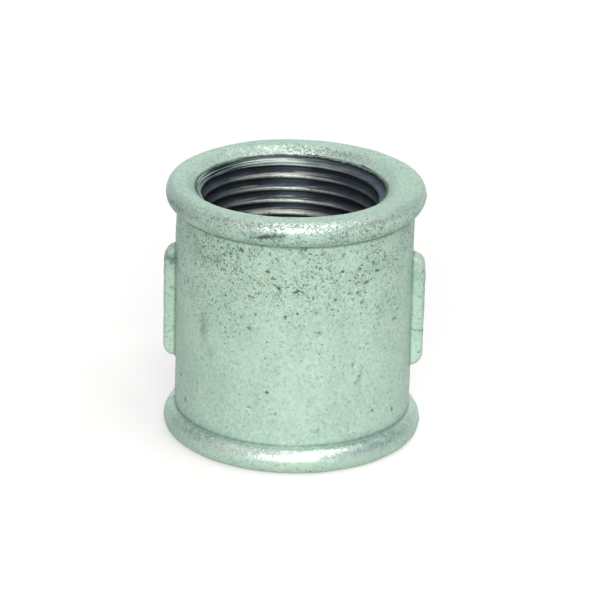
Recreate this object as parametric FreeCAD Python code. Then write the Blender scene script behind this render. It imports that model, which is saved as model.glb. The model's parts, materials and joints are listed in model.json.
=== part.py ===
import FreeCAD, Part
import math
import os

# Threaded pipe socket, size 1 (DN 25): one malleable iron casting, galvanised outside.
# A short tube has a rounded bead round each end and two ribs on opposite sides.
# Both ends are tapped with the right-hand parallel pipe thread Rp 1 of ISO 7-1.
# Millimetres. +Z runs up the axis of the outside, and the origin is the middle of
# the lower end face. The ribs stand along X.

# Whole casting
socket_length = 46.0
wall = 3.45
bore_shift = 0.8

# Beads: a half-round band round each end, with a small fillet in the crease below it
bead_stand = 2.0
bead_height = 4.65
bead_edge_round = 2.1
crease_fillet = 0.3

# Ribs
rib_stand = 2.2
rib_length = 20.4
rib_thickness = 3.6
rib_corner_round = 2.2
rib_edge_round = 0.8
rib_root_fillet = 0.6

# Mouths: the end face falls away to a machined chamfer, which leads into the thread
mouth_depth = 1.3
mouth_slope = 36.0
mouth_round = 2.5
chamfer_slope = 45.0
chamfer_margin = 0.125

# Pipe thread, and the cored recess between the two tapped lengths
threads_per_inch = 11
thread_major_radius = 33.249 / 2
thread_start_angle = 238.0
recess_length = 6.2
recess_margin = 0.375
recess_slope = 45.0

# Whitworth thread form: shares of the pitch, and half the angle between the flanks
thread_pitch = 25.4 / threads_per_inch
thread_depth = 0.640327 * thread_pitch
thread_root_round = 0.137329 * thread_pitch
half_flank_angle = 27.5

# How far the tap reaches past the crests, and how near a point must lie to be on the body
tap_overcut = 0.15
surface_tolerance = 0.001

# Radii worked out from the thread outwards
thread_minor_radius = thread_major_radius - thread_depth
mouth_radius = thread_major_radius + chamfer_margin
recess_radius = thread_major_radius + recess_margin
body_radius = recess_radius + wall
bead_radius = body_radius + bead_stand
rib_reach = body_radius + rib_stand
crown_radius = bead_radius - bead_edge_round

# Heights worked out from the upper end face down
mid_height = socket_length / 2
crease_height = socket_length - bead_height
mouth_edge_height = socket_length - mouth_depth
chamfer_depth = (mouth_radius - thread_minor_radius) * math.tan(math.radians(chamfer_slope))
thread_top = mouth_edge_height - chamfer_depth
recess_top = mid_height + recess_length / 2
recess_lead = (recess_radius - thread_minor_radius) * math.tan(math.radians(recess_slope))
thread_length = thread_top - recess_top

ORIGIN = FreeCAD.Vector(0, 0, 0)
UP = FreeCAD.Vector(0, 0, 1)
ALONG_X = FreeCAD.Vector(1, 0, 0)
ALONG_Y = FreeCAD.Vector(0, 1, 0)
MIDDLE = UP * mid_height
BORE_FOOT = ALONG_X * -bore_shift
QUARTER_TURN = 90
QUARTERS = 4


def point(radius, height):
    """A point of a radial section, in the XZ plane."""
    return FreeCAD.Vector(radius, 0, height)


def line(start, end):
    return Part.LineSegment(start, end).toShape()


def arc(centre, radius, start_angle, end_angle):
    """An arc in the XZ plane. Angles are in degrees, from +X towards +Z."""
    spots = []
    for angle in (start_angle, (start_angle + end_angle) / 2, end_angle):
        turn = math.radians(angle)
        spots.append(centre + radius * point(math.cos(turn), math.sin(turn)))
    return Part.Arc(*spots).toShape()


def upside_down(edges):
    """The same edges mirrored about mid-height, in the opposite order."""
    return [edge.mirror(MIDDLE, UP) for edge in reversed(edges)]


def section_face(edges):
    """The flat face that the edges of a closed radial section enclose."""
    return Part.Face(Part.Wire(Part.sortEdges(edges)[0]))


def bead_edges():
    """The upper bead's outline, from its crease on the body to the end face."""
    widest_height = socket_length - bead_edge_round
    drop = widest_height - crease_height
    lower_round = (bead_stand ** 2 + drop ** 2) / (2 * bead_stand)
    crease_angle = -math.degrees(math.asin(drop / lower_round))
    return [
        arc(point(bead_radius - lower_round, widest_height), lower_round, crease_angle, 0),
        arc(point(crown_radius, widest_height), bead_edge_round, 0, 90),
    ]


def outside():
    """The casting with no hole: a body with a bead round each end."""
    upper = bead_edges()
    edges = upside_down(upper) + upper
    edges.append(line(point(body_radius, bead_height), point(body_radius, crease_height)))
    edges.append(line(point(crown_radius, socket_length), point(0, socket_length)))
    edges.append(line(point(0, socket_length), point(0, 0)))
    edges.append(line(point(0, 0), point(crown_radius, 0)))
    solid = section_face(edges).revolve(ORIGIN, UP, 360)
    creases = []
    for edge in solid.Edges:
        level = edge.BoundBox.ZLength < surface_tolerance
        at_crease = abs(abs(edge.CenterOfMass.z - mid_height) - (crease_height - mid_height))
        if level and at_crease < surface_tolerance:
            creases.append(edge)
    return solid.makeFillet(crease_fillet, creases)


def rib(side):
    """One rib at mid-height, let into the wall. side is +1 or -1 along X."""
    inner = rib_reach - 2 * rib_corner_round
    corner = rib_reach - rib_corner_round
    low = mid_height - rib_length / 2
    high = mid_height + rib_length / 2
    outline = Part.Wire([
        line(point(inner, low), point(corner, low)),
        arc(point(corner, low + rib_corner_round), rib_corner_round, -90, 0),
        line(point(rib_reach, low + rib_corner_round), point(rib_reach, high - rib_corner_round)),
        arc(point(corner, high - rib_corner_round), rib_corner_round, 0, 90),
        line(point(corner, high), point(inner, high)),
        line(point(inner, high), point(inner, low)),
    ])
    plate = Part.Face(outline).extrude(ALONG_Y * rib_thickness)
    plate.translate(ALONG_Y * (-rib_thickness / 2))
    long_edges = []
    for edge in plate.Edges:
        follows_outline = edge.BoundBox.YLength < surface_tolerance
        if follows_outline and edge.BoundBox.XMax > inner + surface_tolerance:
            long_edges.append(edge)
    plate = plate.makeFillet(rib_edge_round, long_edges)
    if side < 0:
        plate.rotate(ORIGIN, UP, 180)
    return plate


def rib_root_edges(casting):
    """The edges where the ribs meet the body: each is beside a rib and at the body's radius."""
    chosen = []
    for edge in casting.Edges:
        box = edge.BoundBox
        reach = max(box.ZMax - mid_height, mid_height - box.ZMin)
        beside_rib = reach < rib_length / 2 + surface_tolerance
        off_body = 0
        for spot in edge.discretize(5):
            off_body = max(off_body, abs(math.hypot(spot.x, spot.y) - body_radius))
        if beside_rib and off_body < surface_tolerance:
            chosen.append(edge)
    return chosen


def mouth_edges(crown_end):
    """The upper mouth's outline about the bore's axis, from the end face in to the thread."""
    slope = math.radians(mouth_slope)
    round_centre = crown_end - UP * mouth_round
    slope_start = round_centre + mouth_round * point(-math.sin(slope), math.cos(slope))
    mouth_edge = point(mouth_radius, mouth_edge_height)
    return [
        arc(round_centre, mouth_round, 90, 90 + mouth_slope),
        line(slope_start, mouth_edge),
        line(mouth_edge, point(thread_minor_radius, thread_top)),
    ]


def bore_tool():
    """All that is hollow before tapping, in quarter turns whose faces stay separate."""
    slope = math.radians(mouth_slope)
    crown_reach = mouth_depth / math.tan(slope) + mouth_round * math.tan(slope / 2)
    crown_end = point(mouth_radius + crown_reach, socket_length)
    recess_start = point(thread_minor_radius, recess_top)
    recess_wall = point(recess_radius, recess_top - recess_lead)
    upper = mouth_edges(crown_end)
    upper.append(line(point(thread_minor_radius, thread_top), recess_start))
    upper.append(line(recess_start, recess_wall))
    edges = upper + upside_down(upper)
    edges.append(line(recess_wall, point(recess_radius, socket_length - recess_wall.z)))
    edges.append(line(crown_end, point(0, socket_length)))
    edges.append(line(point(0, socket_length), point(0, 0)))
    edges.append(line(point(0, 0), point(crown_end.x, 0)))
    quarters = []
    for count in range(QUARTERS):
        quarter = section_face(edges).revolve(ORIGIN, UP, QUARTER_TURN)
        quarter.rotate(ORIGIN, UP, count * QUARTER_TURN)
        quarters.append(quarter)
    tool = quarters[0].multiFuse(quarters[1:])
    tool.translate(BORE_FOOT)
    return tool


def groove_section():
    """The section of a thread groove: two flanks, a rounded root and an open side."""
    flank = math.radians(half_flank_angle)
    inner = thread_minor_radius - tap_overcut
    pitch_radius = thread_major_radius - thread_depth / 2
    inner_half = thread_pitch / 4 + (pitch_radius - inner) * math.tan(flank)
    root_centre = point(thread_major_radius - thread_root_round, 0)
    root_half = thread_root_round * math.cos(flank)
    root_end = root_centre.x + thread_root_round * math.sin(flank)
    turn = 90 - half_flank_angle
    return Part.Wire([
        line(point(inner, -inner_half), point(root_end, -root_half)),
        arc(root_centre, thread_root_round, -turn, turn),
        line(point(root_end, root_half), point(inner, inner_half)),
        line(point(inner, inner_half), point(inner, -inner_half)),
    ])


def tap():
    """The upper end's groove as a solid, from inside the recess out past the mouth.

    It is a chain of equal quarter turns with their touching ends left out, and its middle
    crosses the top of the thread at thread_start_angle.
    """
    rise = thread_pitch / QUARTERS
    above = math.ceil((chamfer_depth + thread_pitch) / rise)
    below = math.ceil((thread_length + recess_lead + thread_pitch / 2) / rise)
    helix = Part.makeHelix(thread_pitch, rise, thread_minor_radius)
    link = Part.Wire(helix.Edges).makePipeShell([groove_section()], True, True)
    sides = [face for face in link.Faces if not isinstance(face.Surface, Part.Plane)]
    ends = [face for face in link.Faces if isinstance(face.Surface, Part.Plane)]
    ends.sort(key=lambda face: face.CenterOfMass.z)
    faces = []
    for count in range(-below, above):
        link_faces = list(sides)
        if count == -below:
            link_faces.append(ends[0])
        if count == above - 1:
            link_faces.append(ends[1])
        for face in link_faces:
            moved = face.copy()
            moved.rotate(ORIGIN, UP, thread_start_angle + count * QUARTER_TURN)
            moved.translate(BORE_FOOT + UP * (thread_top + count * rise))
            faces.append(moved)
    shell = Part.makeShell(faces)
    shell.sewShape()
    return Part.makeSolid(shell)


def socket_casting():
    casting = outside()
    for side in (1, -1):
        casting = casting.fuse(rib(side))
    casting = casting.makeFillet(rib_root_fillet, rib_root_edges(casting))
    casting = casting.cut(bore_tool())
    upper_tap = tap()
    lower_tap = upper_tap.copy()
    lower_tap.rotate(BORE_FOOT + MIDDLE, ALONG_X, 180)
    casting = casting.cut(upper_tap)
    casting = casting.cut(lower_tap)
    return casting.Solids[0]


def save(shape, node):
    os.makedirs("parts", exist_ok=True)
    shape.exportStep("parts/" + node + ".step")


save(socket_casting(), "socket_casting")
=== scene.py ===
import json
import math

import bmesh
import bpy
import numpy as np
from mathutils import Matrix, Vector


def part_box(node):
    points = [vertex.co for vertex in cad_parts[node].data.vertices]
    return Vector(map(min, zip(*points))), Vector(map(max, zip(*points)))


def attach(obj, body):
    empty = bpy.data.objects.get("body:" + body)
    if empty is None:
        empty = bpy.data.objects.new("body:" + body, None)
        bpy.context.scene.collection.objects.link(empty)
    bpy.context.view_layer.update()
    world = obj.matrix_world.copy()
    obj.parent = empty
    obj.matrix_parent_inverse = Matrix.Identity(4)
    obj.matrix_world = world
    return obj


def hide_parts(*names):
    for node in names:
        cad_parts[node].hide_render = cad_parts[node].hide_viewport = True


# Looks of the threaded pipe socket: a galvanised casting with bare, machined threads.
# Two closed meshes stand for the one CAD node: the zinc-coated outside, and the bore.
# Lengths in the modelling code are millimetres and are turned to metres in make_mesh().

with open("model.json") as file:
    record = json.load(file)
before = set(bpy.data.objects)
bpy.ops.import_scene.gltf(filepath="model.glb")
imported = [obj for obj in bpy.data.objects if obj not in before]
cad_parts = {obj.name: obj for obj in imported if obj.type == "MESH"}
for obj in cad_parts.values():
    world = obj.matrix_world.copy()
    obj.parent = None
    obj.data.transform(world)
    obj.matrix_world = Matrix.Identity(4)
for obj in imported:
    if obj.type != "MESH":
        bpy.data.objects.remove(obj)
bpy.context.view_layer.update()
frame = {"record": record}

MM = 0.001
NODE = "socket_casting"
SEED = 25

low, high = (np.array(corner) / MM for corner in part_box(NODE))
mounts = {mount["name"]: mount for mount in frame["record"]["mounts"]}

# Read from the frame
LENGTH = high[2] - low[2]
MIDDLE = LENGTH / 2
BEAD_RADIUS = (high[1] - low[1]) / 2
RIB_REACH = (high[0] - low[0]) / 2
MINOR_RADIUS = mounts["thread_top"]["dims"]["r_mm"]
BORE_X = mounts["thread_top"]["pos_m"][0] / MM

# The CAD part's other sizes, about the same axes
BEAD_STAND = 2.0
BODY_RADIUS = BEAD_RADIUS - BEAD_STAND
BEAD_ROUND = 2.1
BEAD_WIDEST = LENGTH - BEAD_ROUND
BEAD_DROP = 2.55
BEAD_UNDER_ROUND = (BEAD_STAND ** 2 + BEAD_DROP ** 2) / (2 * BEAD_STAND)
CREASE_FILLET = 0.3
RIB_HALF_LENGTH = 10.2
RIB_HALF_THICKNESS = 1.8
RIB_CORNER_ROUND = 2.2
RIB_EDGE_ROUND = 0.8
RIB_ROOT_FILLET = 0.6
MOUTH_RADIUS = 16.7495
MOUTH_DEPTH = 1.3
MOUTH_EDGE = LENGTH - MOUTH_DEPTH
MOUTH_SLOPE = math.radians(36)
MOUTH_ROUND = 2.5
RECESS_RADIUS = 16.9995
RECESS_TOP = MIDDLE + 3.1
PITCH = 25.4 / 11
THREAD_DEPTH = 0.640327 * PITCH
MAJOR_RADIUS = MINOR_RADIUS + THREAD_DEPTH
ROOT_ROUND = 0.137329 * PITCH
FLANK = math.radians(27.5)
THREAD_TOP = MOUTH_EDGE - (MOUTH_RADIUS - MINOR_RADIUS)
THREAD_START = 238.0
CREST_ROUND = 0.24

# Scuffs and pits seen on the casting: degrees round from the camera's side, height, half
# width, half height, slant and strength
MARKS = (
    (-11.0, 43.5, 1.3, 0.40, 0.25, 1.6),
    (-5.5, 43.8, 1.7, 0.55, 0.12, 1.0),
    (3.6, 33.2, 0.70, 0.20, 0.55, 1.7),
    (6.5, 34.2, 0.40, 0.25, 1.1, 0.9),
    (-4.7, 33.7, 0.30, 0.28, 0.0, 1.5),
    (-7.0, 34.3, 0.40, 0.18, -0.7, 1.0),
    (-10.0, 36.6, 0.45, 0.35, 0.0, 1.1),
    (-23.6, 39.8, 0.55, 0.40, 0.0, 1.2),
    (-1.2, 28.6, 0.40, 0.40, 0.6, 1.0),
    (-18.8, 25.9, 0.55, 0.45, 0.0, 0.8),
    (15.0, 25.6, 0.70, 0.25, 0.0, 0.8),
    (37.0, 30.3, 0.40, 0.50, 0.4, 1.0),
    (39.7, 33.7, 0.70, 0.35, 0.2, 0.8),
    (35.0, 36.4, 0.45, 0.25, 0.0, 1.4),
    (46.0, 35.3, 0.60, 0.30, 0.0, 1.3),
    (22.5, 31.3, 0.60, 0.35, 0.0, 0.9),
    (37.0, 16.6, 0.95, 1.2, 2.3, 0.46),
    (33.0, 19.0, 0.30, 0.7, 1.2, 0.9),
    (61.0, 25.0, 0.8, 0.5, 0.0, 0.5),
    (-9.5, 14.6, 0.40, 0.30, 0.0, 1.3),
    (61.0, 8.0, 0.40, 0.45, 0.0, 1.2),
    (46.0, 9.5, 0.35, 0.40, 0.0, 1.0),
    (-62.0, 8.2, 0.35, 0.45, 0.3, 1.2),
    (-67.5, 12.0, 0.40, 0.35, 0.0, 1.2),
    (-90.0, 31.2, 3.6, 1.3, 0.0, 0.75),
    (90.0, 19.5, 2.6, 0.5, 0.0, 0.8),
    (-38.0, 36.8, 1.8, 1.0, 0.2, 0.5),
    (155.0, 20.0, 1.0, 3.4, 0.2, 0.6),
    (-140.0, 31.0, 2.0, 0.8, 0.3, 0.6),
)

# Broad grey patches, some real smears and some painted shade on the beads' and body's sides:
# degrees round, height, half width, half height and strength
GRIME_AND_SHADE = (
    (-62.0, 44.4, 9.0, 1.3, 0.85),
    (56.0, 45.2, 9.0, 0.8, 0.55),
    (-34.0, 45.1, 7.0, 0.45, 0.60),
    (38.0, 45.1, 6.0, 0.45, 0.65),
    (-50.0, 4.0, 10.0, 1.4, 1.00),
    (52.0, 3.9, 11.0, 1.5, 1.10),
    (46.0, 3.3, 4.0, 0.8, 0.60),
    (-90.0, 31.2, 3.2, 1.3, 0.85),
    (-52.0, 37.0, 4.0, 2.2, 0.25),
    (-46.0, 23.5, 0.9, 2.4, 0.75),
    (-41.0, 19.4, 0.6, 1.2, 0.50),
    (35.0, 15.4, 0.7, 1.0, 0.35),
    (-24.0, 39.3, 3.0, 1.3, 0.22),
    (13.0, 29.7, 0.8, 0.8, 0.40),
    (48.0, 27.6, 0.9, 1.3, 0.40),
    (152.0, 45.2, 6.0, 0.45, 0.55),
    (-148.0, 45.2, 5.0, 0.45, 0.50),
    (130.0, 4.0, 14.0, 1.1, 0.55),
    (-150.0, 44.6, 9.0, 1.1, 0.45),
    (170.0, 33.0, 6.0, 3.5, 0.30),
    (90.0, 27.0, 2.5, 9.0, 0.20),
    (-90.0, 23.0, 2.5, 9.0, 0.18),
)

# Narrow lamps along an overhead softbox: azimuth, elevation and strength
STRIPS = (
    (10, 58, 0.020), (35, 48, 0.055), (44, 66, 0.070), (56, 76, 0.040), (72, 56, 0.055),
    (102, 64, 0.020), (95, 82, 0.025), (152, 76, 0.030), (172, 62, 0.022), (112, 42, 0.024),
    (-80, 52, 0.015),
)

# Hidden walls, where the two closed meshes end inside the casting
OUTSIDE_BACK_RADIUS = 17.3
BORE_BACK_RADIUS = 17.15

# The zinc's lap over the edge of each mouth
ZINC_THICKNESS = 0.08
ZINC_REACH = 0.34
ZINC_LAP_SLOPE = 0.88


# ---------------------------------------------------------------- noise

def lattice(cells, seed):
    """A repeatable value from -1 to 1 for each whole-number cell."""
    mixed = cells[..., 0] * 73856093 ^ cells[..., 1] * 19349663 ^ cells[..., 2] * 83492791
    mixed = (mixed ^ (seed * 2654435761)) & 0xFFFFFFFF
    for shift, factor in ((15, 2246822519), (13, 3266489917)):
        mixed = ((mixed ^ (mixed >> shift)) * factor) & 0xFFFFFFFF
    return (mixed ^ (mixed >> 16)) / 0x7FFFFFFF - 1.0


def cloud(points, cell, seed):
    """Smooth noise from -1 to 1 whose lumps are about one cell wide."""
    spots = points / cell
    base = np.floor(spots).astype(np.int64)
    part = spots - base
    part = part * part * (3 - 2 * part)
    total = np.zeros(points.shape[:-1])
    for corner in np.ndindex(2, 2, 2):
        share = np.prod(np.where(corner, part, 1 - part), axis=-1)
        total += share * lattice(base + np.array(corner), SEED + seed)
    return total


def smooth_step(start, end, value):
    part = np.clip((value - start) / (end - start), 0, 1)
    return part * part * (3 - 2 * part)


# ---------------------------------------------------------------- outside

def arc_points(centre, radius, start, end, step):
    """Points of an arc in (radius, height), with the start left out. Angles in degrees."""
    count = max(2, round(abs(math.radians(end - start)) * radius / step))
    turns = np.radians(np.linspace(start, end, count + 1)[1:])
    return [(centre[0] + radius * math.cos(t), centre[1] + radius * math.sin(t)) for t in turns]


def line_points(start, end, step):
    """Points of a straight line in (radius, height), with the start left out."""
    count = max(1, round(math.dist(start, end) / step))
    share = np.linspace(0, 1, count + 1)[1:, None]
    return [tuple(spot) for spot in np.array(start) * (1 - share) + np.array(end) * share]


def upper_outline():
    """The upper half's outline: rows on the bore's axis, then rows on the casting's axis."""
    round_centre = (MOUTH_RADIUS + MOUTH_DEPTH / math.tan(MOUTH_SLOPE)
                    + MOUTH_ROUND * math.tan(MOUTH_SLOPE / 2), LENGTH - MOUTH_ROUND)
    turn = math.degrees(MOUTH_SLOPE)
    slope_top = (round_centre[0] - MOUTH_ROUND * math.sin(MOUTH_SLOPE),
                 round_centre[1] + MOUTH_ROUND * math.cos(MOUTH_SLOPE))
    mouth = [(MOUTH_RADIUS, MOUTH_EDGE)]
    mouth += line_points(mouth[0], slope_top, 0.2)
    mouth += arc_points(round_centre, MOUTH_ROUND, 90 + turn, 90, 0.25)

    crown = BEAD_RADIUS - BEAD_ROUND
    under_centre = (BEAD_RADIUS - BEAD_UNDER_ROUND, BEAD_WIDEST)
    fillet_radius = BODY_RADIUS + CREASE_FILLET
    reach = BEAD_UNDER_ROUND + CREASE_FILLET
    drop = math.sqrt(reach ** 2 - (fillet_radius - under_centre[0]) ** 2)
    crease_turn = math.degrees(math.asin(drop / reach))
    fillet_centre = (fillet_radius, BEAD_WIDEST - drop)
    outer = [(crown, LENGTH)]
    outer += arc_points((crown, BEAD_WIDEST), BEAD_ROUND, 90, 0, 0.24)
    outer += arc_points(under_centre, BEAD_UNDER_ROUND, 0, -crease_turn, 0.24)
    outer += arc_points(fillet_centre, CREASE_FILLET, 180 - crease_turn, 180, 0.08)
    return mouth, outer


def body_heights(start):
    """Heights of the body's rows above the middle, from the crease down to the middle."""
    rib_band = RIB_HALF_LENGTH - RIB_EDGE_ROUND
    heights = [start]
    while heights[-1] > 0.2:
        near_rib_end = rib_band - 0.8 < heights[-1] < rib_band + 3.2
        heights.append(heights[-1] - (0.19 if near_rib_end else 0.38))
    heights[-1] = 0.0
    return heights[1:]


def column_angles():
    """Angles round the casting, closer together across the two ribs."""
    quarter = [0.0]
    while quarter[-1] < 90:
        along = math.radians(quarter[-1]) * BODY_RADIUS
        step = 0.2 if along < 4.2 else 0.42
        quarter.append(quarter[-1] + math.degrees(step / BODY_RADIUS))
    quarter = np.array(quarter) * 90 / quarter[-1]
    half = np.concatenate([quarter, 180 - quarter[-2::-1]])
    return np.radians(np.concatenate([half, half[1:-1] + 180]))


def rib_distance(points):
    """Signed distance to the nearer rib, a plate with rounded corners and edges."""
    across = np.abs(points[..., 0]) - (RIB_REACH - RIB_CORNER_ROUND)
    along = np.abs(points[..., 2] - MIDDLE) - (RIB_HALF_LENGTH - RIB_CORNER_ROUND)
    outline = np.minimum(np.maximum(across, along), 0) - RIB_CORNER_ROUND
    outline += np.hypot(np.maximum(across, 0), np.maximum(along, 0))
    side = np.abs(points[..., 1]) - RIB_HALF_THICKNESS + RIB_EDGE_ROUND
    outline += RIB_EDGE_ROUND
    inner = np.minimum(np.maximum(outline, side), 0)
    return inner + np.hypot(np.maximum(outline, 0), np.maximum(side, 0)) - RIB_EDGE_ROUND


def wall_distance(points):
    """Signed distance to the body and ribs, with the fillet where they meet."""
    body = np.hypot(points[..., 0], points[..., 1]) - BODY_RADIUS
    rib = rib_distance(points)
    size = RIB_ROOT_FILLET
    corner = np.hypot(np.maximum(size - body, 0), np.maximum(size - rib, 0))
    return np.maximum(size, np.minimum(body, rib)) - corner


def onto_wall(points):
    """Moves points along the distance's slope until they lie on the wall."""
    nudge = 0.002
    for _ in range(7):
        here = wall_distance(points)
        slope = np.stack([wall_distance(points + nudge * axis) - here for axis in np.eye(3)], -1)
        slope /= nudge
        size = np.sum(slope * slope, axis=-1, keepdims=True)
        points = points - here[..., None] * slope / np.maximum(size, 0.2)
    return points


def over_rib(around, height):
    """Where a sheet wrapped on the body goes as it climbs a rib: offset, height and lift.

    around and height are measured on the body from the rib's centre. The sheet keeps its
    distance from the rib's flat core, so rows and columns stay apart on the rib's walls.
    """
    core = np.array([RIB_HALF_THICKNESS - RIB_EDGE_ROUND, RIB_HALF_LENGTH - RIB_EDGE_ROUND])
    flat = np.stack([around, height], -1)
    nearest = np.clip(flat, -core, core)
    away = flat - nearest
    distance = np.hypot(away[..., 0], away[..., 1])
    top = RIB_REACH - BODY_RADIUS
    wall = top - RIB_EDGE_ROUND - RIB_ROOT_FILLET
    edge_end = RIB_EDGE_ROUND * math.pi / 2
    wall_end = edge_end + wall
    band = wall_end + RIB_ROOT_FILLET * math.pi / 2
    reach = band + 4.0
    turn = np.clip(distance / RIB_EDGE_ROUND, 0, math.pi / 2)
    fillet = np.clip((distance - wall_end) / RIB_ROOT_FILLET, 0, math.pi / 2)
    offset = RIB_EDGE_ROUND * np.sin(turn) + RIB_ROOT_FILLET * (1 - np.cos(fillet))
    foot = RIB_EDGE_ROUND + RIB_ROOT_FILLET
    spread = (reach - foot) / (reach - band)
    offset += np.clip(distance - band, 0, None) * spread
    offset = np.where(distance < reach, offset, distance)
    drop = RIB_EDGE_ROUND * (1 - np.cos(turn)) + np.clip(distance - edge_end, 0, wall)
    drop += RIB_ROOT_FILLET * np.sin(fillet)
    moved = nearest + away * (offset / np.maximum(distance, 1e-9))[..., None]
    return moved[..., 0], moved[..., 1], top - drop


def outside_grid():
    """Rows of points over the casting's outside, with a hidden wall that closes them."""
    angles = column_angles()
    mouth, outer = upper_outline()
    heights = body_heights(outer[-1][1] - MIDDLE)
    bore_rows = [(True, r, z) for r, z in mouth]
    crown_rows = [(None, share, LENGTH) for share in (0.33, 0.67)]
    bead_rows = [(False, r, z) for r, z in outer]
    body_rows = [(False, BODY_RADIUS, MIDDLE + h) for h in heights]
    upper = bore_rows + crown_rows + bead_rows + body_rows
    lower = [(kind, size, LENGTH - z) for kind, size, z in reversed(upper[:-1])]
    back_height = MOUTH_EDGE - 0.4
    back = [(True, MOUTH_RADIUS + 0.12, LENGTH - MOUTH_EDGE + 0.14)]
    back += [(True, OUTSIDE_BACK_RADIUS, z) for z in (LENGTH - back_height, back_height)]
    back += [(True, MOUTH_RADIUS + 0.12, MOUTH_EDGE - 0.14)]
    rows = upper + lower + back
    ring = np.stack([np.cos(angles), np.sin(angles)], -1)
    bore_foot = np.array([BORE_X, 0.0])
    grid = np.zeros((len(rows), len(angles), 3))
    for row, (kind, size, z) in enumerate(rows):
        if kind is None:
            start = bore_foot + mouth[-1][0] * ring
            end = outer[0][0] * ring
            spots = start * (1 - size) + end * size
        else:
            spots = ring * size + (bore_foot if kind else 0)
        grid[row, :, :2] = spots
        grid[row, :, 2] = z
    shown = len(upper) + len(lower)
    first = len(upper) - len(body_rows)
    last = first + 2 * len(body_rows) - 1
    part = grid[first:last]
    around = np.angle(np.exp(1j * angles)) * BODY_RADIUS
    across = np.where(np.abs(angles - math.pi) < math.pi / 2,
                      (angles - math.pi) * BODY_RADIUS, around)
    facing = np.where(np.abs(angles - math.pi) < math.pi / 2, math.pi, 0.0)
    offset, height, lift = over_rib(np.broadcast_to(across, part.shape[:2]),
                                    part[..., 2] - MIDDLE)
    turn = facing + offset / BODY_RADIUS
    wrapped = np.stack([(BODY_RADIUS + lift) * np.cos(turn),
                        (BODY_RADIUS + lift) * np.sin(turn), height + MIDDLE], -1)
    near = (np.abs(across) < 6.5)[None, :] & (np.abs(part[..., 2] - MIDDLE) < 15.0)
    wrapped[near] = onto_wall(wrapped[near])
    grid[first:last] = wrapped
    return grid, shown


def grid_normals(grid):
    """Outward directions of a grid that closes on itself both ways."""
    down = np.roll(grid, -1, 0) - np.roll(grid, 1, 0)
    around = np.roll(grid, -1, 1) - np.roll(grid, 1, 1)
    normals = np.cross(down, around)
    return normals / np.maximum(np.linalg.norm(normals, axis=-1, keepdims=True), 1e-9)


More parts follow.
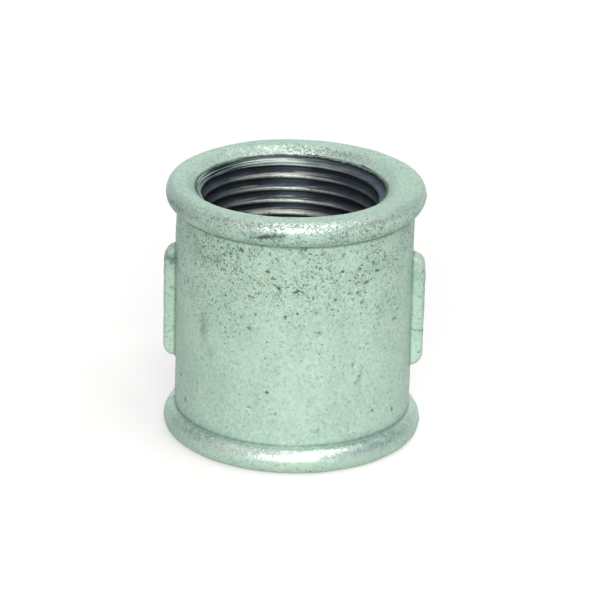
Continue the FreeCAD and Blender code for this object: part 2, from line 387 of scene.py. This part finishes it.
def roughen_outside(grid, shown):
    """Gives the outside a cast and dipped surface. Returns the grid and its vertex values."""
    rng = np.random.default_rng(SEED)
    normals = grid_normals(grid)
    spots = grid[:shown]
    out = normals[:shown]
    radius = np.hypot(spots[..., 0], spots[..., 1])
    height = spots[..., 2]
    turn = np.degrees(np.arctan2(spots[..., 1], spots[..., 0]))

    bead = smooth_step(BODY_RADIUS + 0.1, BEAD_RADIUS - 0.2, radius)
    bead *= smooth_step(13.0, 17.5, np.abs(height - MIDDLE))
    at_end = smooth_step(18.25, 18.6, np.abs(height - MIDDLE))
    flat_top = smooth_step(0.86, 0.99, out[..., 2]) * (height > MIDDLE)
    rubbed = at_end * smooth_step(0.05, 0.45, out[..., 2]) * (1 - flat_top)
    # Painted shade: the rubbing, with its pale grains and gloss, is cut back on the beads' sides
    # towards ±X, which keeps them darker
    beside = smooth_step(0.60, 0.95, np.abs(np.cos(np.radians(turn))))
    painted_side_shade = np.where(height > MIDDLE, 0.75 * smooth_step(0.50, 0.75, out[..., 2]), 0.55)
    rubbed *= 1 - beside * painted_side_shade
    lift = 0.060 * cloud(spots, 9.0, 1) + 0.035 * cloud(spots, 3.2, 2)
    lift += 0.016 * cloud(spots, 1.2, 3) + 0.012 * cloud(spots, 0.6, 4)
    lift += bead * (0.045 * cloud(spots, 4.0, 5) + 0.02 * cloud(spots, 1.6, 6))

    # Parting line of the mould, in the ribs' plane
    seam = np.exp(-(spots[..., 1] / 0.42) ** 2)
    on_rib = smooth_step(BODY_RADIUS + 0.6, RIB_REACH - 0.1, radius)
    on_rib *= np.abs(height - MIDDLE) < RIB_HALF_LENGTH
    lift += on_rib * (0.060 * cloud(spots, 1.6, 11) + 0.030 * cloud(spots, 0.6, 12))
    rubbed = np.maximum(rubbed, 0.9 * on_rib * smooth_step(27.5, 31.5, height))
    on_mouth = smooth_step(BODY_RADIUS - 0.4, BODY_RADIUS - 0.9, radius)
    strength = 0.17 + 0.09 * cloud(spots, 5.0, 7) - 0.13 * on_rib - 0.16 * on_mouth
    lift += seam * np.maximum(strength - 0.10 * bead, 0)

    # The coat stays close to the iron beside each mouth
    from_bore = np.hypot(spots[..., 0] - BORE_X, spots[..., 1])
    near_mouth = smooth_step(MOUTH_RADIUS + 1.6, MOUTH_RADIUS + 0.1, from_bore)

    # Pits left by the sand
    flat = spots.reshape(-1, 3)
    dents = np.zeros(len(flat))
    for _ in range(170):
        centre = flat[rng.integers(len(flat))]
        size = 0.28 + 0.5 * rng.random() ** 3
        depth = 0.05 + 0.16 * rng.random() ** 2
        away = np.linalg.norm(flat - centre, axis=1)
        dents = np.maximum(dents, depth * np.exp(-(away / size) ** 2))
    dents = dents.reshape(lift.shape) * (1 - near_mouth)
    lift = lift * (1 - 0.85 * near_mouth) - dents

    moved = spots + out * lift[..., None]
    # The zinc's edge at each mouth is uneven and stands a little proud of the bare iron
    for row, sign in ((0, 1), (shown - 1, -1)):
        ragged = 0.07 * cloud(spots[row], 1.8, 8) + 0.15 * cloud(spots[row], 0.45, 9) - ZINC_REACH
        ragged -= 0.10 * np.cos(np.radians(turn[row]))
        along = spots[row, :, :2] - np.array([BORE_X, 0.0])
        along /= np.linalg.norm(along, axis=-1, keepdims=True)
        moved[row, :, :2] = spots[row, :, :2] + along * ragged[:, None]
        moved[row, :, 2] = spots[row, :, 2] + sign * ragged * ZINC_LAP_SLOPE
    moved[..., 2] = np.clip(moved[..., 2], 0.0, LENGTH + 0.08)
    grid = grid.copy()
    grid[:shown] = moved

    # Grey patches: real smears in places, and painted shade on the beads' and body's sides
    # elsewhere
    grime_and_shade = np.zeros(height.shape)
    for angle, level, half_width, half_height, strength in GRIME_AND_SHADE:
        across = np.radians((turn + 90 - angle + 180) % 360 - 180) * BODY_RADIUS
        spread = np.exp(-(across / half_width) ** 2 - ((height - level) / half_height) ** 2)
        grime_and_shade = np.maximum(grime_and_shade, strength * spread)
    marks = np.zeros(height.shape)
    for angle, level, half_width, half_height, slant, strength in MARKS:
        around = (turn + 90 - angle + 180) % 360 - 180
        across = np.radians(around) * BODY_RADIUS
        rise = height - level - slant * across
        spread = np.exp(-(across / half_width) ** 2 - (rise / half_height) ** 2)
        marks = np.maximum(marks, strength * spread)
    # Painted shade: a dark line along each bead's crease and round each rib's foot
    crease = np.exp(-((np.abs(height - MIDDLE) - 18.2) / 0.20) ** 2)
    crease *= radius > BODY_RADIUS - 0.5
    rib_foot = np.exp(-((radius - BODY_RADIUS - 0.15) / 0.25) ** 2)
    rib_foot *= np.exp(-((rib_distance(spots) - 0.20) / 0.25) ** 2)
    values = {
        "rubbed": rubbed,
        "pit": np.clip(dents / 0.20, 0, 1),
        "mark": marks * (radius > BODY_RADIUS - 0.4),
        "grime_and_shade": grime_and_shade,
        # top: the rim's upward faces, where shade is painted and specks are thinned
        "top": smooth_step(0.45, 0.80, out[..., 2]) * at_end * (height > MIDDLE),
        "crease": np.maximum(crease, rib_foot),
        "height": height / LENGTH,
    }
    return grid, values


# ---------------------------------------------------------------- bore

def groove_radius(along):
    """The thread's radius at a distance along the axis from a groove's middle."""
    along = np.abs((along + PITCH / 2) % PITCH - PITCH / 2)
    root_centre = MAJOR_RADIUS - ROOT_ROUND
    rounded = root_centre + np.sqrt(np.maximum(ROOT_ROUND ** 2 - along ** 2, 0))
    root_half = ROOT_ROUND * math.cos(FLANK)
    root_end = root_centre + ROOT_ROUND * math.sin(FLANK)
    flank = root_end - (along - root_half) / math.tan(FLANK)
    groove = np.where(along < root_half, rounded, flank)
    corner = np.maximum(CREST_ROUND - np.abs(groove - MINOR_RADIUS), 0) ** 2
    return np.maximum(groove, MINOR_RADIUS) + corner / (4 * CREST_ROUND)


def plain_radius(height):
    """The bore's radius before tapping, in the upper half."""
    lead_foot = RECESS_TOP - (RECESS_RADIUS - MINOR_RADIUS)
    recess = np.clip(RECESS_RADIUS - (height - lead_foot), MINOR_RADIUS, RECESS_RADIUS)
    chamfer = np.clip(MINOR_RADIUS + height - THREAD_TOP, MINOR_RADIUS, MOUTH_RADIUS)
    lip = np.maximum(height - MOUTH_EDGE, 0) / math.tan(MOUTH_SLOPE)
    lip += np.where(height > MOUTH_EDGE, ZINC_THICKNESS, 0)
    return np.maximum(recess, chamfer + lip)


def bore_half():
    """Rows of the upper half's bore, which follow the thread, as a closed strip of faces."""
    columns = 220
    root_end = ROOT_ROUND * math.cos(FLANK)
    one_side = np.array([0, 0.15, root_end, 0.52, 0.74, 0.84, 0.92, 0.99, 1.07])
    offsets = np.concatenate([one_side, [PITCH / 2], PITCH - one_side[:0:-1]])
    per_pitch = len(offsets)
    top = MOUTH_EDGE + 0.14
    turns = np.arange(columns) / columns
    start = THREAD_TOP - PITCH * THREAD_START / 360
    first = math.floor((MIDDLE - start) / PITCH) - 3
    last = math.ceil((top - start) / PITCH) + 3
    rise = np.concatenate([offsets + PITCH * count for count in range(first, last)])
    heights = start + turns[None, :] * PITCH + rise[:, None]
    heights = np.clip(heights, MIDDLE, top)
    grooves = groove_radius(heights - start - turns[None, :] * PITCH)
    plain = plain_radius(heights)
    radius = np.maximum(plain, grooves)
    radius = np.where(heights > MOUTH_EDGE, plain, radius)
    angle = turns * 2 * math.pi
    spots = np.stack([radius * np.cos(angle), radius * np.sin(angle), heights], -1)
    # Painted highlight: bare metal shows bright only in bands round the back and front of the
    # bore
    clean = smooth_step(0.70, 1.0, np.abs(np.sin(angle - 0.1)))
    values = {
        "crest": smooth_step(MINOR_RADIUS + 0.20, MINOR_RADIUS + 0.05, radius),
        "chamfer": ((plain >= grooves) & (heights > THREAD_TOP - 0.1)) * 1.0,
        "lip": smooth_step(MOUTH_EDGE - 0.30, MOUTH_EDGE - 0.12, heights),
        "side": np.broadcast_to(-np.cos(angle), heights.shape),
        "groove": smooth_step(MINOR_RADIUS + 0.5, MAJOR_RADIUS, grooves) * (grooves > plain),
        "clean": np.broadcast_to(clean, heights.shape),
    }
    wear = 0.012 * cloud(spots, 0.9, 21) + 0.010 * cloud(spots, 0.35, 22)
    wear *= smooth_step(MIDDLE, MIDDLE + 0.5, heights)
    scale = 1 + wear * (0.4 + 0.6 * values["crest"]) / radius
    spots[..., :2] *= scale[..., None]
    spots[..., 0] += BORE_X
    rows = len(rise)
    index = np.arange(rows * columns).reshape(rows, columns)
    right = np.empty_like(index)
    right[:, :-1] = index[:, 1:]
    right[:, -1] = index[np.minimum(np.arange(rows) + per_pitch, rows - 1), 0]
    faces = np.stack([index[:-1], right[:-1], right[1:], index[1:]], -1).reshape(-1, 4)
    return spots.reshape(-1, 3), faces, {key: v.reshape(-1) for key, v in values.items()}, columns


def bore_parts():
    """Points, faces and values of the whole bore, both threads and the hidden wall."""
    spots, faces, values, columns = bore_half()
    count = len(spots)
    turned = spots * np.array([1, -1, -1]) + np.array([0, 0, LENGTH])
    values = {key: np.concatenate([v, v]) for key, v in values.items()}
    points = [spots, turned]
    quads = [faces, faces + count]
    top = (MOUTH_EDGE + 0.14)
    angle = np.arange(columns) / columns * 2 * math.pi
    ring = np.stack([BORE_BACK_RADIUS * np.cos(angle) + BORE_X,
                     BORE_BACK_RADIUS * np.sin(angle)], -1)
    base = 2 * count
    heights = [top, MOUTH_EDGE - 0.6, LENGTH - MOUTH_EDGE + 0.6, LENGTH - top]
    lip = spots[count - columns:]
    low_lip = turned[count - columns:]
    order = np.argsort(np.arctan2(low_lip[:, 1], low_lip[:, 0] - BORE_X) % (2 * math.pi))
    wall = [lip]
    wall += [np.column_stack([ring, np.full(columns, z)]) for z in heights[1:3]]
    wall.append(low_lip[order])
    points += wall
    for step in range(len(wall) - 1):
        here = base + step * columns + np.arange(columns)
        below = here + columns
        quads.append(np.stack([here, np.roll(here, -1), np.roll(below, -1), below], -1))
    added = sum(len(part) for part in wall)
    values = {key: np.concatenate([v, np.zeros(added)]) for key, v in values.items()}
    return np.concatenate(points), np.concatenate(quads), values


# ---------------------------------------------------------------- meshes

def make_mesh(name, points, faces, values, material, sharp_angle=None):
    """A mesh object from points in millimetres, with named values on its vertices."""
    mesh = bpy.data.meshes.new(name)
    mesh.from_pydata((points * MM).tolist(), [], faces.tolist())
    for key, numbers in values.items():
        layer = mesh.attributes.new(key, "FLOAT", "POINT")
        layer.data.foreach_set("value", numbers.astype(np.float32))
    tidy = bmesh.new()
    tidy.from_mesh(mesh)
    bmesh.ops.remove_doubles(tidy, verts=tidy.verts, dist=0.004 * MM)
    bmesh.ops.dissolve_degenerate(tidy, edges=tidy.edges, dist=0.002 * MM)
    bmesh.ops.recalc_face_normals(tidy, faces=tidy.faces)
    tidy.to_mesh(mesh)
    tidy.free()
    mesh.shade_smooth()
    if sharp_angle:
        mesh.set_sharp_from_angle(angle=math.radians(sharp_angle))
    mesh.materials.append(material)
    piece = bpy.data.objects.new(name, mesh)
    bpy.context.scene.collection.objects.link(piece)
    return piece


def grid_faces(rows, columns):
    """Faces of a grid that closes on itself both ways."""
    index = np.arange(rows * columns).reshape(rows, columns)
    below = np.roll(index, -1, 0)
    corners = (index, np.roll(index, -1, 1), np.roll(below, -1, 1), below)
    return np.stack(corners, -1).reshape(-1, 4)


# ---------------------------------------------------------------- materials

class Shader:
    """A material and short ways to add nodes to it."""

    def __init__(self, name):
        self.material = bpy.data.materials.new(name)
        self.material.use_nodes = True
        self.tree = self.material.node_tree
        self.tree.nodes.clear()

    def node(self, kind, inputs=None, output=0, **settings):
        made = self.tree.nodes.new("ShaderNode" + kind)
        for key, setting in settings.items():
            setattr(made, key, setting)
        for key, value in (inputs or {}).items():
            if isinstance(value, bpy.types.NodeSocket):
                self.tree.links.new(value, made.inputs[key])
            else:
                made.inputs[key].default_value = value
        return made.outputs[output]

    def math(self, operation, first, second=0.0):
        return self.node("Math", {0: first, 1: second}, operation=operation)

    def times(self, first, *others):
        for other in others:
            first = self.math("MULTIPLY", first, other)
        return first

    def plus(self, first, *others):
        for other in others:
            first = self.math("ADD", first, other)
        return first

    def value(self, name):
        return self.node("Attribute", output=2, attribute_name=name)

    def spread(self, value, start, end, low_out=0.0, high_out=1.0):
        inputs = {0: value, 1: start, 2: end, 3: low_out, 4: high_out}
        return self.node("MapRange", inputs, interpolation_type="SMOOTHSTEP")

    def noise(self, place, scale, detail=3.0, rough=0.5, twist=0.0):
        inputs = {"Vector": place, "Scale": scale, "Detail": detail, "Roughness": rough,
                  "Distortion": twist}
        return self.node("TexNoise", inputs)

    def cells(self, place, scale, output=0):
        return self.node("TexVoronoi", {"Vector": place, "Scale": scale}, output=output)

    def mix(self, share, first, second, blend="MIX"):
        made = self.tree.nodes.new("ShaderNodeMix")
        made.data_type = "RGBA"
        made.blend_type = blend
        for key, value in ((0, share), (6, first), (7, second)):
            if isinstance(value, bpy.types.NodeSocket):
                self.tree.links.new(value, made.inputs[key])
            else:
                made.inputs[key].default_value = value
        return made.outputs[2]

    def bump(self, height, strength=1.0, under=None):
        """Bump whose height is in millimetres."""
        inputs = {"Height": height, "Strength": strength, "Distance": MM}
        if under is not None:
            inputs["Normal"] = under
        return self.node("Bump", inputs)

    def finish(self, **inputs):
        names = {key.replace("_", " "): value for key, value in inputs.items()}
        shader = self.node("BsdfPrincipled", names)
        output = self.tree.nodes.new("ShaderNodeOutputMaterial")
        self.tree.links.new(shader, output.inputs["Surface"])
        return self.material

    def millimetres(self):
        """Object coordinates in millimetres."""
        place = self.node("TexCoord", output=3)
        return self.node("VectorMath", {0: place, "Scale": 1 / MM}, operation="SCALE")


def galvanised():
    """Dull grey-green zinc: mottled, specked with dirt, and grainy where the ends are rubbed.
    Painted shade darkens the creases, the rim's top and the beads' and body's sides.
    """
    s = Shader("galvanised_iron")
    place = s.millimetres()
    rubbed, height = s.value("rubbed"), s.value("height")

    blotch = s.noise(place, 0.16, 4.0, 0.6)
    cream = s.noise(place, 0.33, 3.0, 0.55, 0.6)
    fine = s.noise(place, 1.5, 5.0, 0.65)
    broken = s.noise(place, 1.3, 4.0, 0.7, 0.5)
    green, pale_green = (0.490, 0.675, 0.560, 1), (0.560, 0.745, 0.620, 1)
    colour = s.mix(s.spread(blotch, 0.35, 0.65), green, pale_green)
    colour = s.mix(s.times(s.spread(cream, 0.55, 0.75), 0.45), colour, (0.580, 0.650, 0.600, 1))
    mottle = s.spread(s.noise(place, 0.6, 2.0, 0.5), 0.35, 0.65, 0.25, 0.60)
    colour = s.mix(s.times(s.spread(fine, 0.50, 0.34), mottle), colour, (0.300, 0.450, 0.390, 1))
    colour = s.mix(s.times(s.spread(fine, 0.50, 0.66), mottle), colour, (0.680, 0.860, 0.740, 1))

    # Faint stains in the upper half of the body
    stain = s.noise(place, 0.42, 2.0, 0.5, 1.5)
    stain = s.times(s.spread(stain, 0.58, 0.70), s.spread(height, 0.5, 0.7), 0.35)
    colour = s.mix(stain, colour, (0.500, 0.540, 0.370, 1))

    # Dark specks, thick in the upper third and thin below it
    crowd = s.spread(s.noise(place, 0.20, 3.0, 0.6), 0.34, 0.62)
    off_rim = s.plus(s.times(s.value("top"), -0.65), 1.0)
    upper = s.times(s.spread(height, 0.38, 0.85, 0.15, 1.0), off_rim)
    density = s.times(s.plus(s.times(crowd, 0.65), 0.35), upper)
    depth = s.spread(broken, 0.35, 0.58, 0.40, 1.0)
    grit = s.noise(place, 2.1, 2.0, 0.60)
    level = s.plus(s.times(density, 0.115), 0.330)
    speck = s.times(s.spread(grit, level, s.plus(level, -0.050)), depth)
    dust = s.noise(place, 4.4, 1.0, 0.5)
    level = s.plus(s.times(density, 0.120), 0.315)
    dust = s.times(s.spread(dust, level, s.plus(level, -0.06)), 0.60)
    blot = s.noise(place, 0.75, 5.0, 0.72, 0.3)
    level = s.plus(s.times(density, 0.070), 0.325)
    blot = s.times(s.spread(blot, level, s.plus(level, -0.06)), 0.60)
    dirt = s.math("MAXIMUM", s.math("MAXIMUM", s.times(speck, 0.88), dust), blot)
    pit = s.plus(s.value("pit"), s.times(grit, 2.0), broken)
    pit = s.times(s.spread(pit, 1.90, 2.50), s.spread(s.value("pit"), 0.05, 0.40))
    dirt = s.math("MAXIMUM", dirt, s.times(pit, 0.5))
    mark = s.plus(s.times(s.value("mark"), 0.9), s.times(grit, 1.3), s.times(broken, 2.0))
    mark = s.times(s.spread(mark, 1.80, 2.50), s.spread(s.value("mark"), 0.05, 0.30))
    dirt = s.math("MAXIMUM", dirt, s.times(mark, 0.95))
    colour = s.mix(dirt, colour, (0.075, 0.120, 0.100, 1))

    # Painted shade: the rim's upward-facing top is darkened in patches
    painted_top_shade = s.times(s.value("top"), s.spread(broken, 0.32, 0.62, 0.60, 0.15))
    colour = s.mix(painted_top_shade, colour, (0.330, 0.475, 0.400, 1))

    # Zinc grains on the rubbed beads: small facets that each face their own way and glint. Some
    # grains are darkened as a painted reflection of dark surroundings, and the lower bead's
    # grains are paler, partly a painted highlight.
    facet = s.cells(place, 4.0, output=1)
    shade = s.node("SeparateXYZ", {0: facet})
    low_end = s.spread(height, 0.3, 0.1)
    patch = s.spread(s.noise(place, 0.30, 3.0, 0.6), 0.32, 0.52, 0.75, 1.0)
    patch = s.math("MAXIMUM", patch, low_end)
    grains = s.times(rubbed, patch)
    # Rubbed zinc turns pale grey; the paler colour on the lower bead is partly a painted
    # highlight
    pale = s.mix(low_end, (0.480, 0.520, 0.500, 1), (0.720, 0.750, 0.730, 1))
    colour = s.mix(s.times(grains, s.spread(height, 0.1, 0.9, 0.45, 0.60)), colour, pale)
    # Painted reflection: grains darkened as if they mirrored dark surroundings
    painted_dark_facets = s.times(grains, s.spread(shade, 0.42, 0.05), s.spread(height, 0.1, 0.9, 0.30, 0.68))
    colour = s.mix(painted_dark_facets, colour, (0.150, 0.200, 0.185, 1))
    metallic = s.plus(s.times(grains, 0.70), 0.06)
    smoothed = s.times(grains, s.plus(s.times(low_end, 0.04), 0.25))
    roughness = s.plus(s.times(fine, 0.20), s.times(smoothed, -1.0), 0.44)

    # Painted shade: a dark line in the creases. Broad grey patches: some real smears, and some
    # painted shade on the beads' and body's sides
    dark = s.times(s.value("crease"), s.spread(broken, 0.25, 0.60, 0.35, 0.80))
    colour = s.mix(dark, colour, (0.110, 0.210, 0.160, 1))
    grey = s.times(s.value("grime_and_shade"), s.spread(broken, 0.25, 0.75, 0.40, 1.0))
    colour = s.mix(grey, colour, (0.170, 0.260, 0.240, 1))

    peel = s.noise(place, 0.8, 4.0, 0.55)
    lumps = s.plus(s.times(peel, 0.10), s.times(fine, 0.06), s.times(dirt, -0.06))
    bumped = s.bump(lumps, 0.9)
    tilt = s.node("VectorMath", {0: facet, 1: (0.5, 0.5, 0.5)}, operation="SUBTRACT")
    amount = s.plus(s.times(grains, s.spread(height, 0.1, 0.9, 0.05, 0.38)), 0.03)
    tilt = s.node("VectorMath", {0: tilt, "Scale": amount}, operation="SCALE")
    tilted = s.node("VectorMath", {0: bumped, 1: tilt}, operation="ADD")
    normal = s.node("VectorMath", {0: tilted}, operation="NORMALIZE")
    return s.finish(Base_Color=colour, Metallic=metallic, Roughness=roughness, Normal=normal,
                    Specular_IOR_Level=0.2, Specular_Tint=(0.80, 0.98, 0.96, 1))


def machined():
    """Bare tapped iron: dark and oiled, with turning lines and pale crests. Painted highlights
    keep the bright metal to bands round the bore and to one side of the chamfer; painted shade
    darkens the grooves and the chamfer's other side.
    """
    s = Shader("machined_thread")
    place = s.millimetres()
    lines_place = s.node("VectorMath", {0: place, 1: (0.10, 0.10, 4.6)}, operation="MULTIPLY")
    lines = s.noise(lines_place, 1.0, 4.0, 0.7)
    patches = s.noise(place, 0.35, 4.0, 0.6)
    fine = s.noise(place, 2.5, 4.0, 0.6)
    crest, chamfer, groove = s.value("crest"), s.value("chamfer"), s.value("groove")
    clean = s.plus(s.times(s.value("clean"), 0.92), 0.08)
    dark, grey = (0.060, 0.078, 0.105, 1), (0.095, 0.118, 0.135, 1)
    colour = s.mix(s.spread(patches, 0.35, 0.65), dark, grey)

    # Painted light and shade on the chamfer: the side towards -X is pale and ringed, and the side
    # towards +X is dark
    left = s.times(chamfer, s.spread(s.value("side"), -0.3, 0.9, 0.15, 1.0))
    right = s.times(chamfer, s.spread(s.value("side"), -0.3, -0.9, 0.0, 0.7))
    colour = s.mix(s.times(left, 0.8), colour, (0.360, 0.480, 0.450, 1))
    colour = s.mix(right, colour, (0.030, 0.038, 0.050, 1))

    # Bright bare metal in the turning lines and on the worn crests, kept to the painted glint
    # band, a painted highlight; and painted shade in the grooves
    # Painted shade: the grooves are darkened towards their roots
    colour = s.mix(s.times(groove, 0.7), colour, (0.030, 0.038, 0.052, 1))
    bare = s.times(clean, s.plus(s.times(groove, -0.9), s.times(chamfer, 0.1), 0.9))
    bright = s.times(s.spread(lines, 0.47, 0.60), bare)
    colour = s.mix(bright, colour, (0.520, 0.550, 0.490, 1))
    worn_crest_glint = s.times(crest, s.spread(fine, 0.32, 0.50), clean, 0.85)
    colour = s.mix(worn_crest_glint, colour, (0.520, 0.570, 0.510, 1))

    # The chamfer's turned rings, pale only on the painted lit side; and a painted shadow line
    # under the zinc's edge
    rings_place = s.node("VectorMath", {0: place, 1: (0.06, 0.06, 5.0)}, operation="MULTIPLY")
    rings = s.noise(rings_place, 1.0, 2.0, 0.5)
    painted_lit_rings = s.times(left, s.spread(rings, 0.52, 0.60), 0.8)
    colour = s.mix(painted_lit_rings, colour, (0.560, 0.680, 0.620, 1))
    colour = s.mix(s.times(left, s.spread(rings, 0.50, 0.42)), colour, (0.012, 0.018, 0.020, 1))
    # Painted shadow: a dark line under the zinc's overhanging edge, broken by noise
    painted_lip_shadow = s.times(s.value("lip"), s.spread(fine, 0.30, 0.45, 0.4, 0.9))
    colour = s.mix(painted_lip_shadow, colour, (0.030, 0.030, 0.022, 1))

    metallic = s.plus(s.times(right, -0.8), 0.80)
    roughness = s.plus(s.times(fine, 0.15), 0.34)
    normal = s.bump(s.plus(s.times(lines, 0.05), s.times(fine, 0.01)), 0.9)
    along = s.node("Tangent", direction_type="RADIAL", axis="Z")
    return s.finish(Base_Color=colour, Metallic=metallic, Roughness=roughness, Normal=normal,
                    Anisotropic=0.95, Anisotropic_Rotation=0.25, Tangent=along,
                    Specular_IOR_Level=0.2, Specular_Tint=(0.45, 0.50, 0.54, 1))


# ---------------------------------------------------------------- object

grid, shown_rows = outside_grid()
grid, outside_values = roughen_outside(grid, shown_rows)
hidden = grid.shape[0] - shown_rows
outside_values = {
    key: np.concatenate([v, np.zeros((hidden, grid.shape[1]))]).reshape(-1)
    for key, v in outside_values.items()
}
outside = make_mesh("socket_outside", grid.reshape(-1, 3), grid_faces(*grid.shape[:2]),
                    outside_values, galvanised())
bore = make_mesh("threaded_bore", *bore_parts(), machined(), sharp_angle=28)

for piece, slot in ((outside, "galvanised_iron"), (bore, "machined_thread")):
    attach(piece, "root")
    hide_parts(NODE)


# ---------------------------------------------------------------- stage

def stage_floor():
    half = 20.0
    mesh = bpy.data.meshes.new("floor")
    level = low[2] * MM - 0.00005
    corners = [(-half, -half, level), (half, -half, level), (half, half, level),
               (-half, half, level)]
    mesh.from_pydata(corners, [], [(0, 1, 2, 3)])
    floor = bpy.data.objects.new("floor", mesh)
    s = Shader("floor")
    glow = s.times(seen_directly(s.tree), 0.50)
    s.finish(Base_Color=(0.64, 0.60, 0.60, 1), Roughness=0.9, Specular_IOR_Level=0.0,
             Emission_Color=(1, 1, 1, 1), Emission_Strength=glow)
    mesh.materials.append(s.material)
    bpy.context.scene.collection.objects.link(floor)


def seen_directly(tree):
    """1 for camera, glossy and transmission rays, and 0 for the others."""
    path = tree.nodes.new("ShaderNodeLightPath")
    total = path.outputs["Is Camera Ray"]
    for name in ("Is Glossy Ray", "Is Transmission Ray"):
        add = tree.nodes.new("ShaderNodeMath")
        add.operation = "MAXIMUM"
        tree.links.new(total, add.inputs[0])
        tree.links.new(path.outputs[name], add.inputs[1])
        total = add.outputs[0]
    return total


def white_world(ambient):
    """A white backdrop that metal shows too, and a plain softer light for everything else."""
    world = bpy.data.worlds.new("studio")
    bpy.context.scene.world = world
    world.use_nodes = True
    tree = world.node_tree
    tree.nodes.clear()
    shown = seen_directly(tree)
    seen = tree.nodes.new("ShaderNodeBackground")
    seen.inputs["Color"].default_value = (1, 1, 1, 1)
    light = tree.nodes.new("ShaderNodeBackground")
    light.inputs["Color"].default_value = (0.76, 0.98, 1.03, 1)
    light.inputs["Strength"].default_value = ambient
    mix = tree.nodes.new("ShaderNodeMixShader")
    out = tree.nodes.new("ShaderNodeOutputWorld")
    tree.links.new(shown, mix.inputs[0])
    tree.links.new(light.outputs[0], mix.inputs[1])
    tree.links.new(seen.outputs[0], mix.inputs[2])
    tree.links.new(mix.outputs[0], out.inputs["Surface"])


def direction(azimuth, elevation):
    """Towards a point round the object. Azimuth 0 is the camera's side, 90 is +X."""
    a, e = math.radians(azimuth), math.radians(elevation)
    return Vector((math.sin(a) * math.cos(e), -math.cos(a) * math.cos(e), math.sin(e)))


def sun(name, azimuth, elevation, strength, width):
    """A soft lamp, width degrees across. A strength of 1 lights a white surface to white."""
    lamp = bpy.data.lights.new(name, "SUN")
    lamp.energy = strength * math.pi
    lamp.color = (1.0, 0.98, 0.95)
    lamp.angle = math.radians(width)
    made = bpy.data.objects.new(name, lamp)
    made.rotation_mode = "QUATERNION"
    made.rotation_quaternion = direction(azimuth, elevation).to_track_quat("Z", "Y")
    bpy.context.scene.collection.objects.link(made)


def photo_camera():
    cam = bpy.data.cameras.new("camera")
    cam.sensor_width = 36.0
    cam.lens = 231.3
    cam.shift_x = 0.0105
    cam.shift_y = 0.0056
    made = bpy.data.objects.new("camera", cam)
    back = direction(2.5, 21.79)
    made.location = Vector((0, 0, MIDDLE * MM)) + back * 0.6715
    made.rotation_mode = "QUATERNION"
    roll = Matrix.Rotation(math.radians(1.247), 3, "Z").to_quaternion()
    made.rotation_quaternion = (-back).to_track_quat("-Z", "Y") @ roll
    bpy.context.scene.collection.objects.link(made)
    bpy.context.scene.camera = made


stage_floor()
white_world(0.22)
sun("front", 3, 28, 0.63, 34)
sun("back", 182, 30, 0.10, 40)
sun("behind", 186, 6, 0.10, 40)
for azimuth, elevation, strength in STRIPS:
    sun("strip_%d_%d" % (azimuth, elevation), azimuth, elevation, strength, 12)
photo_camera()
bpy.context.scene.view_settings.view_transform = "Standard"
